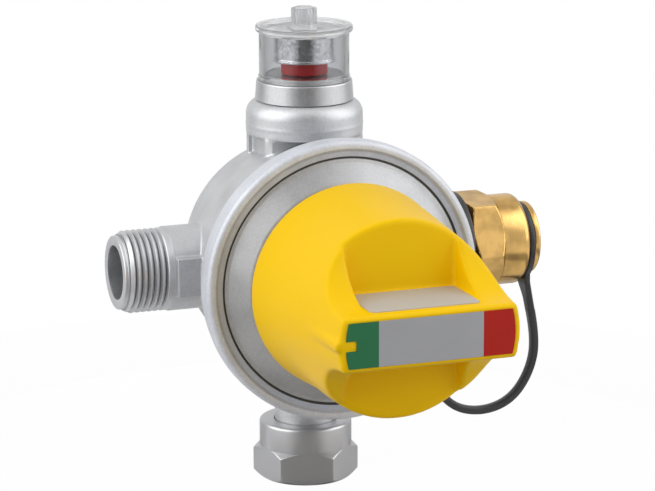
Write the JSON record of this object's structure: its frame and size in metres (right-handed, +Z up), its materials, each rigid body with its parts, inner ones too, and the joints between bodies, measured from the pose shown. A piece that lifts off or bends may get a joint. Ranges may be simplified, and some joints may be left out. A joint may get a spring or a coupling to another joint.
{
  "type": "changeover pressure regulator",
  "caption": "Gas cylinder changeover valve with regulator: threaded inlet, capped second inlet, union nut outlet, clear indicator and turning selector knob.",
  "frame": {"origin": "centre of the outlet's sealing face, inside the union nut, on the outlet axis", "axes": "+Z up along the outlet and indicator axis, -Y out of the selector knob, X along the two inlets with the open inlet towards -X"},
  "size_m": [0.1095, 0.0976, 0.117],
  "materials": {
    "cast_silver": "sprayed silver, fine grain",
    "ring_silver": "smooth silver",
    "cover_grey": "satin grey",
    "knob_yellow": "moulded, satin gloss",
    "label_field": "printed film",
    "label_blank": "printed film",
    "nut_satin": "satin, turned",
    "brass_turned": "turned, brushed",
    "clear_dome": "clear acrylic",
    "galvanised": "mottled zinc",
    "signal_red": "smooth",
    "black_rubber": "moulded",
    "spring_steel": "drawn wire",
    "zinc_steel": "zinc plated"
  },
  "bodies": {
    "housing": {"valve_body": "cast_silver", "clamp_ring": "ring_silver", "front_cover": "cover_grey", "diaphragm": "black_rubber", "setting_spring": "spring_steel", "inlet_seat_left": "brass_turned", "inlet_seat_right": "brass_turned", "inlet_filter_left": "zinc_steel", "inlet_filter_right": "zinc_steel", "lever_pin_left": "spring_steel", "lever_pin_right": "spring_steel", "indicator_base": "cast_silver", "indicator_cap": "clear_dome", "indicator_cup": "galvanised", "indicator_spring": "spring_steel", "nut_retaining_ring": "spring_steel", "outlet_seal": "black_rubber", "tether_body_ring": "black_rubber", "tether_strap": "black_rubber"},
    "selector": {"selector_knob": "knob_yellow", "selector_spindle": "brass_turned", "spindle_clip": "spring_steel", "front_label": "label_field", "grip_label": "label_blank", "knob_screw": "zinc_steel"},
    "spring_carriage": {"spring_plate": "zinc_steel"},
    "diaphragm_stack": {"diaphragm_plate": "zinc_steel", "diaphragm_stem": "brass_turned", "stem_nut": "zinc_steel"},
    "left_lever": {"valve_lever_left": "zinc_steel", "valve_pad_left": "black_rubber"},
    "right_lever": {"valve_lever_right": "zinc_steel", "valve_pad_right": "black_rubber"},
    "indicator_piston": {"indicator_sleeve": "signal_red", "piston_seal": "black_rubber"},
    "outlet_nut": {"union_nut": "nut_satin"},
    "cap_ring": {"tether_cap_ring": "black_rubber"},
    "inlet_cap": {"blanking_cap": "brass_turned", "cap_seal": "black_rubber"}
  },
  "joints": [
    {"name": "selector_turn", "type": "hinge", "parent": "housing", "child": "selector", "pos_m": [0, -0.06, 0.0466], "axis": [0, 1, 0], "range_deg": [0, 180]},
    {"name": "spring_travel", "type": "slide", "parent": "housing", "child": "spring_carriage", "axis": [0, 1, 0], "range_m": [0, 0.002], "deforming": ["setting_spring"]},
    {"name": "diaphragm_lift", "type": "slide", "parent": "housing", "child": "diaphragm_stack", "axis": [0, 1, 0], "range_m": [-0.001, 0.001], "stiffness_N_per_m": 4000, "deforming": ["diaphragm", "setting_spring"]},
    {"name": "left_lever_swing", "type": "hinge", "parent": "housing", "child": "left_lever", "pos_m": [-0.0117, 0.008, 0.0466], "axis": [0, 0, 1], "range_deg": [-6, 6]},
    {"name": "right_lever_swing", "type": "hinge", "parent": "housing", "child": "right_lever", "pos_m": [0.0117, 0.008, 0.0466], "axis": [0, 0, 1], "range_deg": [-6, 6]},
    {"name": "indicator_rise", "type": "slide", "parent": "housing", "child": "indicator_piston", "axis": [0, 0, 1], "range_m": [0, 0.0034], "stiffness_N_per_m": 400, "deforming": ["indicator_spring"]},
    {"name": "nut_spin", "type": "hinge", "parent": "housing", "child": "outlet_nut", "pos_m": [0, 0, -0.0014], "axis": [0, 0, 1], "continuous": true},
    {"name": "cap_travel", "type": "slide", "parent": "housing", "child": "cap_ring", "axis": [1, 0, 0], "range_m": [0, 0.008], "deforming": ["tether_strap"]},
    {"name": "cap_turn", "type": "hinge", "parent": "cap_ring", "child": "inlet_cap", "pos_m": [0.05, 0, 0.0466], "axis": [1, 0, 0], "range_deg": [0, 1920]}
  ],
  "couplings": [
    {"joint": "selector_turn", "follows": "spring_travel", "rad_per_m": 1570.8},
    {"joint": "left_lever_swing", "follows": "diaphragm_lift", "rad_per_m": 100},
    {"joint": "right_lever_swing", "follows": "diaphragm_lift", "rad_per_m": -100},
    {"joint": "cap_turn", "follows": "cap_travel", "rad_per_m": 4188.8}
  ]
}
